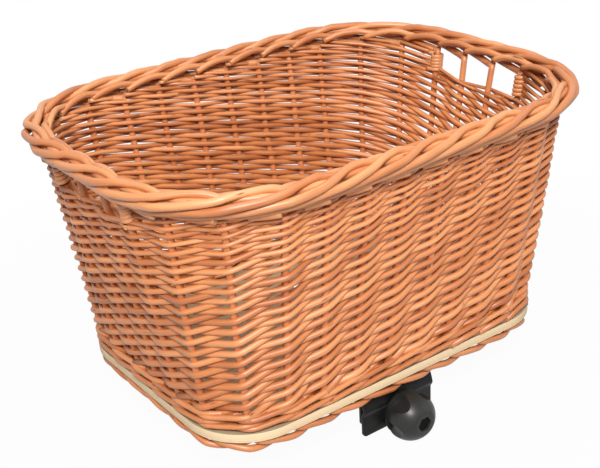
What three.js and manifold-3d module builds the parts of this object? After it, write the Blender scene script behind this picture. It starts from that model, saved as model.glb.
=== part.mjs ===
// A wicker bicycle basket with a carrier clamp under its board.
// Millimetres, +Z up. +X runs along the long sides and the clamp's knob faces -Y.
// The origin is under the middle of the basket, level with the knob's lowest point.
import * as THREE from "three";
import { mergeVertices } from "three/addons/utils/BufferGeometryUtils.js";
import Module from "manifold-3d";

// Mouth and border of the basket, measured over the border
const mouthLength = 460;
const mouthWidth = 350;
const mouthCorner = 119;
const borderWidth = 28;
const borderHeight = 20;
const borderOverhang = 13;
const borderWaistHeight = 9;
const borderGroove = 2.4;

// Lanes of the border's rods: angles round its section from the wall's outside over the top to its inside
const borderLanes = [-90, -40, 0, 45, 80, 115, 150, 185, 270];

// Plywood board and the foot border under it
const boardLength = 370;
const boardWidth = 260;
const boardCorner = 58;
const boardThickness = 8;
const footWidth = 14;
const footHeight = 13;

// Woven wall: stakes, randing and the wale at its foot
const wallHeight = 202;
const wallThickness = 13;
const waleHeight = 16;
const waleThickness = 14;
const stakeDiameter = 6.5;
const stakeInset = 7.5;
const stakePitchLow = 34.5;
const stakePitchHigh = 38;
const stakesOnLongHalf = 4;
const stakesOnShortHalf = 2;
const stakesInCorner = 2;

// Rows of the randing: their height at the foot, its fall with height and with the height's cube
const rowPitchLow = 5.6;
const rowPitchFall = 1.05;
const rowPitchCubeFall = 1.95;
const rowPitchLeast = 3.3;
const rodFullness = 1.07;
const stakeCover = 1;

// Hand openings in the short walls and the skein wound on the stakes beside them
const handleHeight = 24;
const skeinDiameter = 3.4;
const skeinPitch = 4.2;
const skeinWholeTurns = 4;
const skeinStandoff = 0.6;

// Carrier clamp
const railDiameter = 10;
const railSpacing = 224;
const railPlay = 4;
const clampWidth = 79;
const sheetThickness = 2.5;
const bendRadius = 3;
const grooveDepth = 3;
const grooveHalfHeight = 4.8;
const bridgeLip = 1.2;
const railPadDepth = 0.6;
const railPadInner = 6;
const railPadRamp = 1.5;
const packingHeight = 17.4;
const packingDepth = 36;
const jawFlange = 30;
const jawBelowBolt = 14.6;
const jawTravel = 12;
const angleThickness = 3;
const angleWidth = 60;
const angleLeg = 57;

// Clamp screw, its captive nut and its washer
const screwDiameter = 6;
const screwHeadAcrossFlats = 10;
const screwHeadHeight = 4;
const screwSpare = 2;
const captiveNutHeight = 5;
const washerDiameter = 12;
const washerThickness = 1.6;

// Ball knob
const knobDiameter = 45;
const knobLength = 31;
const knobBallCentre = 11.5;
const knobHub = 2;
const knobRim = 3;
const knobPockets = 5;
const knobPocketDiameter = 24;
const knobPocketAway = 27.6;
const knobPocketLean = 10;
const knobRecess = 7;

// Four carriage bolts through the board
const mountBoltDiameter = 6;
const mountBoltSpanX = 40;
const mountBoltFromRail = 50;
const mountHeadDiameter = 16;
const mountHeadHeight = 3.6;
const mountNutAcrossFlats = 10;
const mountNutHeight = 5;
const mountBoltSpare = 2;

// Clearances
const seatGap = 0.3;
const stakeClearance = 0.35;
const holeClearance = 0.4;

// Facets
const cornerSteps = 8;
const footSteps = 8;
const stakeSides = 8;
const skeinSides = 6;
const skeinStepsPerTurn = 10;
const boltSides = 12;
const hubSides = 16;
const holeHalfSides = 6;
const bendSteps = 3;
const bendShareOfLeg = 0.45;
const domeSteps = 4;
const knobSides = 40;
const knobRings = 8;
const pocketSides = 24;
const cutMargin = 5;
const weldDistance = 1e-4;
const gapSamples = 400;

const wasm = await Module();
wasm.setup();

const basket = new THREE.Group();

// Materials
const finish = (color, roughness, metalness = 0) =>
  new THREE.MeshStandardMaterial({ color, roughness, metalness });
const willow = finish(0xc98555, 0.6);
const willowDark = finish(0xb26f42, 0.65);
const willowPale = finish(0xd79a68, 0.55);
const plywood = finish(0xe8cfa4, 0.7);
const blackSteel = finish(0x1d1c1b, 0.45, 0.6);
const zinc = finish(0xa9abad, 0.35, 0.9);
const darkPlastic = finish(0x3a3a38, 0.4);

// Joining and cutting

// A geometry as a solid, with its shared vertices merged and its empty triangles dropped
function toSolid(geometry) {
  const bare = geometry.clone();
  bare.deleteAttribute("normal");
  bare.deleteAttribute("uv");
  const merged = mergeVertices(bare, weldDistance);
  const triangles = [];
  const index = merged.index.array;
  for (let i = 0; i < index.length; i += 3) {
    const [a, b, c] = [index[i], index[i + 1], index[i + 2]];
    if (a !== b && b !== c && c !== a) triangles.push(a, b, c);
  }
  return new wasm.Manifold(new wasm.Mesh({
    numProp: 3,
    vertProperties: new Float32Array(merged.attributes.position.array),
    triVerts: new Uint32Array(triangles),
  }));
}

function toGeometry(solid) {
  const mesh = solid.getMesh();
  const geometry = new THREE.BufferGeometry();
  geometry.setAttribute("position", new THREE.BufferAttribute(mesh.vertProperties, 3));
  geometry.setIndex(new THREE.BufferAttribute(mesh.triVerts, 1));
  geometry.computeVertexNormals();
  return geometry;
}

function cut(geometry, cutters) {
  let solid = toSolid(geometry);
  for (const cutter of cutters) solid = solid.subtract(toSolid(cutter));
  return toGeometry(solid);
}

function add(name, geometry, material, parent = basket) {
  const mesh = new THREE.Mesh(geometry, material);
  mesh.name = name;
  parent.add(mesh);
  return mesh;
}

// Plain shapes

// A round bar along Z from low to high
function bar(radius, low, high, x = 0, y = 0, sides = boltSides) {
  const geometry = new THREE.CylinderGeometry(radius, radius, high - low, sides);
  geometry.rotateX(Math.PI / 2);
  return geometry.translate(x, y, (low + high) / 2);
}

function hexagon(acrossFlats) {
  const corners = [];
  for (let k = 0; k < 6; k += 1) {
    const angle = (k * Math.PI) / 3;
    const reach = acrossFlats / Math.sqrt(3);
    corners.push(new THREE.Vector2(reach * Math.cos(angle), reach * Math.sin(angle)));
  }
  return new THREE.Shape(corners);
}

function prism(shape, low, high) {
  const options = { depth: high - low, bevelEnabled: false, curveSegments: holeHalfSides };
  return new THREE.ExtrudeGeometry(shape, options).translate(0, 0, low);
}

function withHole(shape, radius) {
  shape.holes.push(new THREE.Path().absarc(0, 0, radius, 0, 2 * Math.PI, true));
  return shape;
}

// A rounded rectangle as points, counterclockwise, with every corner an arc
function roundedOutline(halfLength, halfWidth, radius) {
  const points = [];
  const sides = [[1, 1], [-1, 1], [-1, -1], [1, -1]];
  sides.forEach(([sx, sy], corner) => {
    for (let step = 0; step <= cornerSteps; step += 1) {
      const angle = ((corner + step / cornerSteps) * Math.PI) / 2;
      points.push(new THREE.Vector2(
        sx * (halfLength - radius) + radius * Math.cos(angle),
        sy * (halfWidth - radius) + radius * Math.sin(angle),
      ));
    }
  });
  return points;
}

// Whether the fourth corner of a patch lies in front of the plane through the other three
function foldsInward(a, b, c, d) {
  const normal = b.clone().sub(a).cross(c.clone().sub(a));
  return normal.dot(d.clone().sub(a)) > weldDistance;
}

// A closed ring through loops of points, in order round its section, with each patch folded outward
function ringThrough(loops) {
  const count = loops[0].length;
  const points = loops.flat();
  const triangles = [];
  loops.forEach((loop, i) => {
    const here = i * count;
    const next = ((i + 1) % loops.length) * count;
    for (let j = 0; j < count; j += 1) {
      const k = (j + 1) % count;
      const [a, b, c, d] = [here + j, here + k, next + k, next + j];
      if (foldsInward(points[a], points[b], points[c], points[d])) triangles.push(a, b, d, b, c, d);
      else triangles.push(a, b, c, a, c, d);
    }
  });
  const positions = points.flatMap((p) => [p.x, p.y, p.z]);
  const geometry = new THREE.BufferGeometry();
  geometry.setAttribute("position", new THREE.Float32BufferAttribute(positions, 3));
  geometry.setIndex(triangles);
  geometry.computeVertexNormals();
  return geometry;
}

// A ring whose section is a list of [offset from the line, height]
function ringAlong(line, section) {
  return ringThrough(section.map(([offset, z]) =>
    roundedOutline(line.halfLength + offset, line.halfWidth + offset, line.radius + offset)
      .map((p) => new THREE.Vector3(p.x, p.y, z))));
}

// Ball knob: a truncated ball along +Z from its base, with finger pockets in front of its rim
function knobBall() {
  const radius = knobDiameter / 2;
  const baseAngle = Math.asin(-knobBallCentre / radius);
  const faceAngle = Math.asin((knobLength - knobBallCentre) / radius);
  const flank = new THREE.EllipseCurve(0, knobBallCentre, radius, radius, baseAngle, faceAngle);
  const profile = [new THREE.Vector2(0, 0), ...flank.getPoints(knobRings), new THREE.Vector2(0, knobLength)];
  return new THREE.LatheGeometry(profile, knobSides).rotateX(Math.PI / 2);
}

// Each pocket is a round bar that leans away from the knob's axis; the first faces down
function pocketCutters() {
  const cutters = [];
  for (let k = 0; k < knobPockets; k += 1) {
    const cutter = bar(knobPocketDiameter / 2, 0, knobLength, 0, 0, pocketSides);
    cutter.rotateY(THREE.MathUtils.degToRad(knobPocketLean)).translate(knobPocketAway, 0, knobRim);
    cutters.push(cutter.rotateZ((2 * Math.PI * k) / knobPockets - Math.PI / 2));
  }
  return cutters;
}

const knobShape = cut(knobBall(), pocketCutters());
knobShape.computeBoundingBox();

// Heights, from the knob's lowest point up
const railRadius = railDiameter / 2;
const screwRadius = screwDiameter / 2;
const screwZ = -knobShape.boundingBox.min.y;
const railZ = screwZ + washerDiameter / 2 + seatGap + grooveHalfHeight;
const seatZ = railZ + railRadius;
const bridgeLow = seatZ + railPadDepth;
const bridgeTop = bridgeLow + sheetThickness;
const packingLow = bridgeTop + seatGap;
const packingTop = packingLow + packingHeight;
const boardLow = packingTop + seatGap;
const boardTop = boardLow + boardThickness;
const wallTop = boardTop + wallHeight;
const borderLow = wallTop + seatGap;
const waleLow = boardTop + seatGap;
const waleTop = waleLow + waleHeight;
const weaveLow = waleTop + seatGap;
const footTop = boardLow - seatGap;

// Lines that the rings follow: the stakes at the board and at the border
const lineLow = {
  halfLength: boardLength / 2 - stakeInset,
  halfWidth: boardWidth / 2 - stakeInset,
  radius: boardCorner - stakeInset,
};
const wallInset = borderOverhang + wallThickness / 2;
const lineHigh = {
  halfLength: mouthLength / 2 - wallInset,
  halfWidth: mouthWidth / 2 - wallInset,
  radius: mouthCorner - wallInset,
};
function wallLine(z) {
  const t = (z - boardTop) / wallHeight;
  const between = (key) => lineLow[key] + (lineHigh[key] - lineLow[key]) * t;
  return {
    halfLength: between("halfLength"),
    halfWidth: between("halfWidth"),
    radius: between("radius"),
  };
}

function wallLoop(z, offset) {
  const line = wallLine(z);
  return roundedOutline(line.halfLength + offset, line.halfWidth + offset, line.radius + offset)
    .map((p) => new THREE.Vector3(p.x, p.y, z));
}

function wallRing(low, high, thickness) {
  const half = thickness / 2;
  return ringThrough([
    wallLoop(low, half),
    wallLoop(high, half),
    wallLoop(high, -half),
    wallLoop(low, -half),
  ]);
}

// Stakes: their places are walked off along the line, from the middle of a long side to a short one
function placeOnLine(line, distance) {
  const straight = line.halfLength - line.radius;
  const arc = (line.radius * Math.PI) / 2;
  if (distance <= straight) return new THREE.Vector2(distance, line.halfWidth);
  if (distance <= straight + arc) {
    const angle = (distance - straight) / line.radius;
    return new THREE.Vector2(
      straight + line.radius * Math.sin(angle),
      line.halfWidth - line.radius + line.radius * Math.cos(angle),
    );
  }
  return new THREE.Vector2(line.halfLength, line.halfWidth - line.radius - (distance - straight - arc));
}

function stakePlaces(line, pitch) {
  const quarter = line.halfLength + line.halfWidth + line.radius * (Math.PI / 2 - 2);
  const lastLong = (stakesOnLongHalf - 0.5) * pitch;
  const firstShort = quarter - (stakesOnShortHalf - 0.5) * pitch;
  const distances = [];
  for (let k = 0; k < stakesOnLongHalf; k += 1) distances.push((k + 0.5) * pitch);
  for (let k = 1; k <= stakesInCorner; k += 1) {
    distances.push(lastLong + ((firstShort - lastLong) * k) / (stakesInCorner + 1));
  }
  for (let k = 0; k < stakesOnShortHalf; k += 1) distances.push(firstShort + k * pitch);
  return distances.map((distance) => placeOnLine(line, distance));
}

const stakeRadius = stakeDiameter / 2;
const placesLow = stakePlaces(lineLow, stakePitchLow);
const placesHigh = stakePlaces(lineHigh, stakePitchHigh);
const postIndex = stakesOnLongHalf + stakesInCorner;

// One stake's axis in the quarter with the given signs
function stakeAxis(index, sx, sy) {
  const foot = new THREE.Vector3(sx * placesLow[index].x, sy * placesLow[index].y, boardTop);
  const head = new THREE.Vector3(sx * placesHigh[index].x, sy * placesHigh[index].y, wallTop);
  const direction = head.clone().sub(foot).normalize();
  const at = (z) => foot.clone().addScaledVector(direction, (z - boardTop) / direction.z);
  return { direction, at };
}

function rodOn(axis, radius, low, high) {
  const from = axis.at(low);
  const to = axis.at(high);
  const geometry = new THREE.CylinderGeometry(radius, radius, from.distanceTo(to), stakeSides);
  const turn = new THREE.Quaternion().setFromUnitVectors(new THREE.Vector3(0, 1, 0), axis.direction);
  const middle = from.add(to).multiplyScalar(0.5);
  return { geometry, turn, middle };
}

const quarters = [[1, 1], [-1, 1], [-1, -1], [1, -1]];
const stakeCutters = [];
let stakeNumber = 0;
for (const [sx, sy] of quarters) {
  for (let index = 0; index < placesLow.length; index += 1) {
    stakeNumber += 1;
    const axis = stakeAxis(index, sx, sy);
    const tiltLift = stakeRadius * Math.sqrt(1 - axis.direction.z ** 2);
    const rod = rodOn(axis, stakeRadius, boardLow + tiltLift, wallTop - seatGap - tiltLift);
    const mesh = add(`stake_${String(stakeNumber).padStart(2, "0")}`, rod.geometry, willowDark);
    mesh.position.copy(rod.middle);
    mesh.quaternion.copy(rod.turn);
    const channel = rodOn(axis, stakeRadius + stakeClearance, boardLow - cutMargin, wallTop + cutMargin);
    stakeCutters.push(channel.geometry.applyQuaternion(channel.turn).translate(...channel.middle));
  }
}

// Board with slanted stake holes and four bolt holes
const railY = railSpacing / 2;
const mountY = railY - mountBoltFromRail;
const mountBoltRadius = mountBoltDiameter / 2;
const mountPlaces = [];
for (const [sx, sy] of quarters) {
  mountPlaces.push(new THREE.Vector2((sx * mountBoltSpanX) / 2, sy * mountY));
}
const mountCutters = mountPlaces.map((p) =>
  bar(mountBoltRadius + holeClearance, -cutMargin, boardTop + cutMargin, p.x, p.y));
const boardShape = new THREE.Shape(roundedOutline(boardLength / 2, boardWidth / 2, boardCorner));
add("base_board", cut(prism(boardShape, boardLow, boardTop), [...stakeCutters, ...mountCutters]), plywood);

// Wale, randing with its two hand openings, border and foot border
const skeinRadius = skeinDiameter / 2;
const windingRadius = stakeRadius + skeinStandoff + skeinRadius;
const notchHalf = placesHigh[postIndex].y + windingRadius + skeinRadius + skeinStandoff;
const notchLow = wallTop - handleHeight;
const notchLength = lineHigh.halfLength - lineLow.halfLength + 2 * wallThickness;
const notchCutters = [-1, 1].map((side) =>
  new THREE.BoxGeometry(notchLength, 2 * notchHalf, handleHeight + cutMargin)
    .translate(side * lineHigh.halfLength, 0, notchLow + (handleHeight + cutMargin) / 2));

add("upsett_wale", cut(wallRing(waleLow, waleTop, waleThickness), stakeCutters), willowPale);

// Stakes in order round the wall, counterclockwise from the middle of the left short side
const ringQuarters = [[-1, -1], [1, -1], [1, 1], [-1, 1]];
const ringAxes = ringQuarters.flatMap(([sx, sy]) => {
  const axes = placesLow.map((_, index) => stakeAxis(index, sx, sy));
  return sx * sy > 0 ? axes.reverse() : axes;
});

// A loop through the stakes and the middles between them, with each point's reach outward and its rise
function stakeLoop(z, placeAt) {
  const stakes = ringAxes.map((axis) => axis.at(z));
  const points = stakes.flatMap((stake, j) =>
    [stake, stake.clone().lerp(stakes[(j + 1) % stakes.length], 0.5)]);
  return points.map((point, column) => {
    const along = points[(column + 1) % points.length].clone().sub(points.at(column - 1));
    const outward = new THREE.Vector3(along.y, -along.x, 0).normalize();
    const [reach, rise] = placeAt(column);
    return new THREE.Vector3(0, 0, rise).add(point).addScaledVector(outward, reach);
  });
}

// Rows of rods, closer together towards the border
function randingRows() {
  const rows = [];
  let low = weaveLow;
  while (low < wallTop) {
    const share = (low - weaveLow) / (wallTop - weaveLow);
    const fall = rowPitchFall * share + rowPitchCubeFall * share ** 3;
    const pitch = Math.max(rowPitchLeast, rowPitchLow - fall);
    rows.push({ middle: low + pitch / 2, rodRadius: (pitch * rodFullness) / 2 });
    low += pitch;
  }
  return rows.filter((row) => row.middle < wallTop);
}

// Outside, each row passes over every second stake; inside, only the ribs along the stakes are shaped
function wovenRing() {
  const reachOver = wallThickness / 2;
  const reachUnder = stakeRadius + stakeClearance + stakeCover;
  const rows = randingRows();
  const outerLoop = (z, row) => stakeLoop(z, (column) => {
    if (column % 2 === 1) return [rows[row].rodRadius, 0];
    return [(column / 2 + row) % 2 === 0 ? reachOver : reachUnder, 0];
  });
  const innerLoop = (z, row) => stakeLoop(z, (column) =>
    [column % 2 === 1 ? -rows[row].rodRadius : -reachOver, 0]);
  const last = rows.length - 1;
  return ringThrough([
    outerLoop(weaveLow, 0),
    ...rows.map((row, number) => outerLoop(row.middle, number)),
    outerLoop(wallTop, last),
    innerLoop(wallTop, last),
    innerLoop(weaveLow, 0),
  ]);
}

add("side_weave", cut(wovenRing(), [...stakeCutters, ...notchCutters]), willow);

// An arc of an ellipse as [offset, height] points
function ellipseArc(centre, semi, fromDegrees, toDegrees, steps) {
  const points = [];
  for (let step = 0; step <= steps; step += 1) {
    const angle = THREE.MathUtils.degToRad(fromDegrees + ((toDegrees - fromDegrees) * step) / steps);
    points.push([centre[0] + semi[0] * Math.cos(angle), centre[1] + semi[1] * Math.sin(angle)]);
  }
  return points;
}

// Border: each rod climbs one lane in every space between stakes, with a groove on either side
const borderHalf = borderWidth / 2;
const borderCrown = borderHeight - borderWaistHeight;
const seatOut = borderHalf - borderOverhang;
const seatIn = seatOut - wallThickness;
const borderFromStakes = borderOverhang + wallThickness / 2 - borderHalf;

// A point of the border's section: reach from the stakes and height above its seat
function borderPoint(degrees, inset) {
  const angle = THREE.MathUtils.degToRad(degrees);
  let [centre, reach, rise] = [0, borderHalf, borderCrown];
  if (degrees < 0) [centre, reach, rise] = [seatOut, borderOverhang, borderWaistHeight];
  if (degrees > 180) [centre, reach, rise] = [seatIn, borderHalf + seatIn, borderWaistHeight];
  return [
    borderFromStakes + centre + (reach - inset) * Math.cos(angle),
    borderLow - wallTop + borderWaistHeight + (rise - inset) * Math.sin(angle),
  ];
}

function plaitedRing() {
  const halfLanes = borderLanes.slice(1).flatMap((angle, k) => [(borderLanes[k] + angle) / 2, angle]);
  const angles = [borderLanes[0], ...halfLanes];
  const seatEdges = [0, angles.length - 1];
  return ringThrough(angles.map((angle, lane) => stakeLoop(wallTop, (column) => {
    const onRod = seatEdges.includes(lane) || (lane + column) % 2 === 0;
    return borderPoint(angle, onRod ? 0 : borderGroove);
  })));
}

add("rim_border", plaitedRing(), willowPale);

const footSection = ellipseArc([0, footTop], [footWidth / 2, footHeight], 180, 360, footSteps);
add("foot_border", ringAlong(lineLow, footSection), willowPale);

// Skein wound on the stakes beside each hand opening, with both ends running straight to the weave
class SkeinCurve extends THREE.Curve {
  constructor(axis, side) {
    super();
    const turns = skeinWholeTurns + 0.5;
    const middle = axis.at(notchLow + handleHeight / 2);
    this.up = axis.direction;
    this.outward = new THREE.Vector3(0, side, 0).projectOnPlane(this.up).normalize();
    this.across = new THREE.Vector3().crossVectors(this.outward, this.up);
    this.angle = turns * 2 * Math.PI;
    this.rise = turns * skeinPitch;
    this.start = middle.clone().addScaledVector(this.up, -this.rise / 2);
    const finish = middle.clone().addScaledVector(this.up, this.rise / 2);
    this.lead = notchHalf - seatGap - Math.abs(this.start.y);
    this.tail = notchHalf - seatGap - Math.abs(finish.y);
    this.coil = Math.hypot(this.angle * windingRadius, this.rise);
    this.reach = this.lead + this.coil + this.tail;
  }

  getPoint(t, target = new THREE.Vector3()) {
    const along = t * this.reach;
    const wound = THREE.MathUtils.clamp((along - this.lead) / this.coil, 0, 1);
    const straight = Math.max(this.lead - along, along - this.lead - this.coil, 0);
    const angle = Math.PI + wound * this.angle;
    return target.copy(this.start)
      .addScaledVector(this.up, wound * this.rise)
      .addScaledVector(this.across, windingRadius * Math.cos(angle))
      .addScaledVector(this.outward, windingRadius * Math.sin(angle) + straight);
  }
}

function leastGap(curve, radius, apart) {
  const points = curve.getSpacedPoints(gapSamples);
  const skip = Math.ceil((apart / curve.getLength()) * gapSamples);
  let least = Infinity;
  for (let i = 0; i < points.length; i += 1) {
    for (let j = i + skip; j < points.length; j += 1) {
      least = Math.min(least, points[i].distanceTo(points[j]));
    }
  }
  return least - 2 * radius;
}

const skeinShape = new THREE.Shape();
for (let k = 0; k < skeinSides; k += 1) {
  const angle = (2 * Math.PI * k) / skeinSides;
  const [x, y] = [skeinRadius * Math.cos(angle), skeinRadius * Math.sin(angle)];
  if (k === 0) skeinShape.moveTo(x, y);
  else skeinShape.lineTo(x, y);
}
for (const [sx, sy] of quarters) {
  const curve = new SkeinCurve(stakeAxis(postIndex, sx, sy), sy);
  const steps = Math.round((curve.reach / (2 * Math.PI * windingRadius)) * skeinStepsPerTurn);
  const options = { steps, extrudePath: curve, bevelEnabled: false };
  const name = `handle_winding_${sx > 0 ? "right" : "left"}_${sy > 0 ? "back" : "front"}`;
  add(name, new THREE.ExtrudeGeometry(skeinShape, options), willowPale);
  const gap = leastGap(curve, skeinRadius, Math.PI * windingRadius);
  console.log(`${name}: least gap to itself ${gap.toFixed(2)} mm`);
}

// Carrier clamp: folded sheets are drawn in the Y-Z plane and run along X

// A path with each inner corner rounded to the bend radius, or to what its legs allow
function roundedPath(corners) {
  const path = [corners[0]];
  for (let i = 1; i < corners.length - 1; i += 1) {
    const back = corners[i - 1].clone().sub(corners[i]);
    const onward = corners[i + 1].clone().sub(corners[i]);
    const half = back.angleTo(onward) / 2;
    const room = bendShareOfLeg * Math.min(back.length(), onward.length());
    const reach = Math.min(bendRadius / Math.tan(half), room);
    const start = corners[i].clone().addScaledVector(back.normalize(), reach);
    const end = corners[i].clone().addScaledVector(onward.normalize(), reach);
    const bend = new THREE.QuadraticBezierCurve(start, corners[i], end);
    path.push(...bend.getPoints(bendSteps));
  }
  path.push(corners[corners.length - 1]);
  return path;
}

function foldedSheet(corners, thickness, width) {
  const path = roundedPath(corners.map(([y, z]) => new THREE.Vector2(y, z)));
  const upper = [];
  const lower = [];
  path.forEach((point, i) => {
    const before = path[Math.max(i - 1, 0)];
    const after = path[Math.min(i + 1, path.length - 1)];
    const run = after.clone().sub(before).normalize();
    const side = new THREE.Vector2(-run.y, run.x);
    upper.push(point.clone().addScaledVector(side, thickness / 2));
    lower.unshift(point.clone().addScaledVector(side, -thickness / 2));
  });
  const sheet = new THREE.ExtrudeGeometry(new THREE.Shape([...upper, ...lower]), {
    depth: width,
    bevelEnabled: false,
  });
  const axes = new THREE.Matrix4().makeBasis(
    new THREE.Vector3(0, 1, 0),
    new THREE.Vector3(0, 0, 1),
    new THREE.Vector3(1, 0, 0),
  );
  return sheet.applyMatrix4(axes).translate(-width / 2, 0, 0);
}

// Both jaws fold to the same groove round a rail; side is 1 for the far jaw and -1 for the near one
const halfSheet = sheetThickness / 2;
const flankCos = Math.cos(Math.atan2(grooveDepth, grooveHalfHeight));
const apexY = railY + (railRadius + seatGap + halfSheet) / flankCos;
const webY = apexY - grooveDepth;
const jawLow = screwZ - jawBelowBolt;
function jawCorners(side, top) {
  return [
    [side * webY, top],
    [side * apexY, railZ],
    [side * webY, railZ - grooveHalfHeight],
    [side * webY, jawLow],
  ];
}

// A cutter for the clamp screw, which runs along Y
const screwCutter = (radius) => bar(radius, -mouthWidth, mouthWidth)
  .rotateX(Math.PI / 2).translate(0, 0, screwZ);

// The bridge steps down at both ends to a pad on each rail
const padZ = seatZ + halfSheet;
const padY = railY - railPadInner;
const bridgeZ = bridgeLow + halfSheet;
const bridgeCorners = [
  [-railY - bridgeLip, padZ],
  [-padY, padZ],
  [railPadRamp - padY, bridgeZ],
  [padY - railPadRamp, bridgeZ],
  [padY, padZ],
  ...jawCorners(1, padZ),
];
add("clamp_bridge", cut(foldedSheet(bridgeCorners, sheetThickness, clampWidth), mountCutters), blackSteel);

const flangeZ = bridgeTop + seatGap + halfSheet;
const nearJawCorners = [[jawFlange - webY, flangeZ], ...jawCorners(-1, flangeZ)];
add("clamp_jaw", cut(
  foldedSheet(nearJawCorners, sheetThickness, clampWidth),
  [screwCutter(screwRadius + holeClearance)],
), blackSteel);

const legOuter = railY - railRadius - railPlay;
const legMiddle = legOuter - angleThickness / 2;
const angleZ = bridgeLow - seatGap - angleThickness / 2;
const angleCorners = [
  [angleLeg - legOuter, angleZ],
  [-legMiddle, angleZ],
  [-legMiddle, jawLow],
];
add("anchor_angle", cut(
  foldedSheet(angleCorners, angleThickness, angleWidth),
  [screwCutter(screwRadius + holeClearance), ...mountCutters],
), blackSteel);

[["packing_block_back", 1], ["packing_block_front", -1]].forEach(([name, side]) => {
  const block = new THREE.BoxGeometry(clampWidth, packingDepth, packingHeight);
  block.translate(0, side * mountY, packingLow + packingHeight / 2);
  add(name, cut(block, mountCutters), plywood);
});

// Clamp screw, captive nut, washer and knob, on one axis that points out of the jaw
const jawFace = webY + halfSheet;
const screwAxis = new THREE.Group();
screwAxis.position.set(0, -jawFace, screwZ);
screwAxis.rotation.x = Math.PI / 2;
basket.add(screwAxis);

const washerShape = new THREE.Shape().absarc(0, 0, washerDiameter / 2, 0, 2 * Math.PI, false);
const washerRing = withHole(washerShape, screwRadius + holeClearance);
const washerTop = seatGap + washerThickness;
add("knob_washer", prism(washerRing, seatGap, washerTop), zinc, screwAxis);

const hubLow = washerTop + seatGap;
const knobBase = hubLow + knobHub;
const knobFace = knobBase + knobLength;
const recessFloor = knobFace - knobRecess;
const knobHubBar = bar(washerDiameter / 2, hubLow, knobBase + knobHub, 0, 0, hubSides);
const knobWithHub = toSolid(knobShape.translate(0, 0, knobBase)).add(toSolid(knobHubBar));
add("clamp_knob", cut(toGeometry(knobWithHub), [
  bar(screwRadius + holeClearance, 0, knobFace + cutMargin),
  prism(hexagon(screwHeadAcrossFlats + 2 * holeClearance), recessFloor, knobFace + cutMargin),
]), darkPlastic, screwAxis);

const nutFace = legOuter - angleThickness - seatGap - jawFace;
const nutEnd = nutFace - captiveNutHeight;
const headLow = recessFloor + seatGap;
const screwHead = prism(hexagon(screwHeadAcrossFlats), headLow, headLow + screwHeadHeight);
const screwShank = bar(screwRadius, nutEnd - jawTravel - screwSpare, headLow + screwHeadHeight / 2);
add("clamp_screw", toGeometry(toSolid(screwHead).add(toSolid(screwShank))), zinc, screwAxis);
add("captive_nut", prism(withHole(hexagon(screwHeadAcrossFlats), screwRadius + seatGap), nutEnd, nutFace),
  zinc, screwAxis);

// Carriage bolts, with their nuts under the bridge, or under the angle on the clamp's side
const mountNames = ["back_right", "back_left", "front_left", "front_right"];
mountPlaces.forEach((place, i) => {
  const underAngle = place.y < 0 ? seatGap + angleThickness : 0;
  const nutTop = bridgeLow - seatGap - underAngle;
  const nutLow = nutTop - mountNutHeight;
  const headSeat = boardTop + seatGap;
  const headRadius = mountHeadDiameter / 2;
  const dome = new THREE.EllipseCurve(0, headSeat, headRadius, mountHeadHeight, 0, Math.PI / 2);
  const profile = [
    new THREE.Vector2(0, nutLow - mountBoltSpare),
    new THREE.Vector2(mountBoltRadius, nutLow - mountBoltSpare),
    new THREE.Vector2(mountBoltRadius, headSeat),
    ...dome.getPoints(domeSteps),
  ];
  profile[profile.length - 1].x = 0;
  const bolt = new THREE.LatheGeometry(profile, boltSides);
  bolt.rotateX(Math.PI / 2);
  add(`mount_bolt_${mountNames[i]}`, bolt.translate(place.x, place.y, 0), zinc);
  const nut = prism(withHole(hexagon(mountNutAcrossFlats), mountBoltRadius + seatGap), nutLow, nutTop);
  add(`mount_nut_${mountNames[i]}`, nut.translate(place.x, place.y, 0), zinc);
});

export default basket;
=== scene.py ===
# Wicker bicycle basket with a screw clamp under its board: the looks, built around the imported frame.
import math

import bpy
import numpy as np
from mathutils import Matrix, Vector


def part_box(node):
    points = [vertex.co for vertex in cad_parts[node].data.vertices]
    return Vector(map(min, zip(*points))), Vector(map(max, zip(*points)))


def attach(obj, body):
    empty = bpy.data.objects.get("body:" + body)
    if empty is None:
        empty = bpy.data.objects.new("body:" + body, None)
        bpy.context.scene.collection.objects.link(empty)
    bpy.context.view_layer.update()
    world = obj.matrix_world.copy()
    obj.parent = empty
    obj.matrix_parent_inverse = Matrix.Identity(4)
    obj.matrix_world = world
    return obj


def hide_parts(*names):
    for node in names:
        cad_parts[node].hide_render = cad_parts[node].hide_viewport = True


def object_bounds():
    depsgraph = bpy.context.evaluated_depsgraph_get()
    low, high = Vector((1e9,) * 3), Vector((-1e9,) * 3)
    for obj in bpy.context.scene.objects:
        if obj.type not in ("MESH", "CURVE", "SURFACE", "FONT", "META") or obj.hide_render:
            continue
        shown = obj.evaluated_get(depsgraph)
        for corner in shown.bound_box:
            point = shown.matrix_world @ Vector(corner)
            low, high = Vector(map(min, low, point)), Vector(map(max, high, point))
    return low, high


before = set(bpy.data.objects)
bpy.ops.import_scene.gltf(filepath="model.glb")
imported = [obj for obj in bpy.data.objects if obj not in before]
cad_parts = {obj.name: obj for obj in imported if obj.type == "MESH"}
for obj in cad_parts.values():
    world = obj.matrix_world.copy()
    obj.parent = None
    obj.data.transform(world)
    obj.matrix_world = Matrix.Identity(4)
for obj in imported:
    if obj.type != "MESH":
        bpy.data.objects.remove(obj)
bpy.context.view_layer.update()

mm = 0.001
turn = 2 * math.pi
chance = np.random.default_rng(41)
print("frame:", len(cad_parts), "nodes")


# Places taken from the frame, in millimetres

def boxOf(node):
    low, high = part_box(node)
    return np.array(low) / mm, np.array(high) / mm


def pointsOf(mesh):
    return np.array([v.co for v in mesh.vertices]) / mm


def unit(vectors):
    return vectors / np.linalg.norm(vectors, axis=-1, keepdims=True)


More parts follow.
